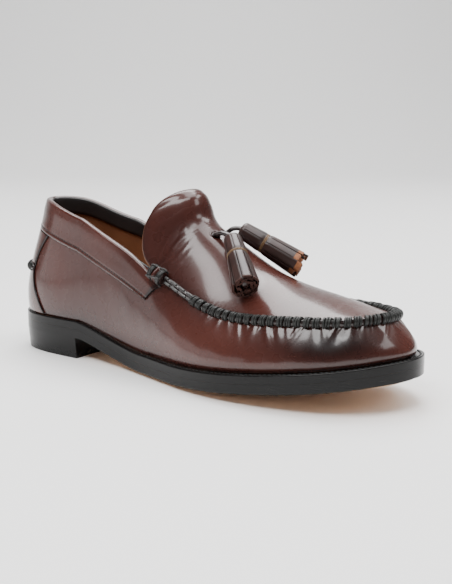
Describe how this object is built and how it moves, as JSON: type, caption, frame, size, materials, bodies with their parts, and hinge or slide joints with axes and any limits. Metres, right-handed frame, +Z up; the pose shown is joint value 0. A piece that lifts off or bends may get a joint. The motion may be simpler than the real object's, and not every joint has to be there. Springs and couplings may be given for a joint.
{
  "type": "tassel loafer",
  "caption": "Right slip-on loafer with a hand-sewn moccasin apron, a tall tongue, tassels on a lace, leather outsole, welt and low stacked heel.",
  "frame": {"origin": "the middle of the shoe's bounding box in plan, on the floor that it stands on", "axes": "+X from heel to toe, +Y towards the wearer's left, which is the inner side of this right shoe, +Z up"},
  "size_m": [0.2915, 0.1026, 0.1095],
  "materials": {
    "sole_leather": "smooth tan sole leather with a black edge",
    "edge_black": "black waxed edge",
    "top_lift": "satin black",
    "lining": "smooth tan lining leather",
    "upper_leather": "high-shine burgundy brush-off leather",
    "thread": "waxed black thread over a leather ridge",
    "tassel_leather": "glossy dark burgundy with brown raw ends",
    "lace": "glossy black"
  },
  "bodies": {
    "root": {"outsole": "sole_leather", "welt": "edge_black", "heel_stack": "edge_black", "top_lift": "top_lift", "insole": "lining", "upper": "upper_leather", "tongue": "upper_leather", "collar_band": "upper_leather", "back_stay": "upper_leather", "heel_seam": "thread", "moc_seam": "thread", "beefroll_outer": "thread", "beefroll_inner": "thread", "tassel_outer": "tassel_leather", "tassel_inner": "tassel_leather", "tassel_lace": "lace"}
  },
  "joints": []
}
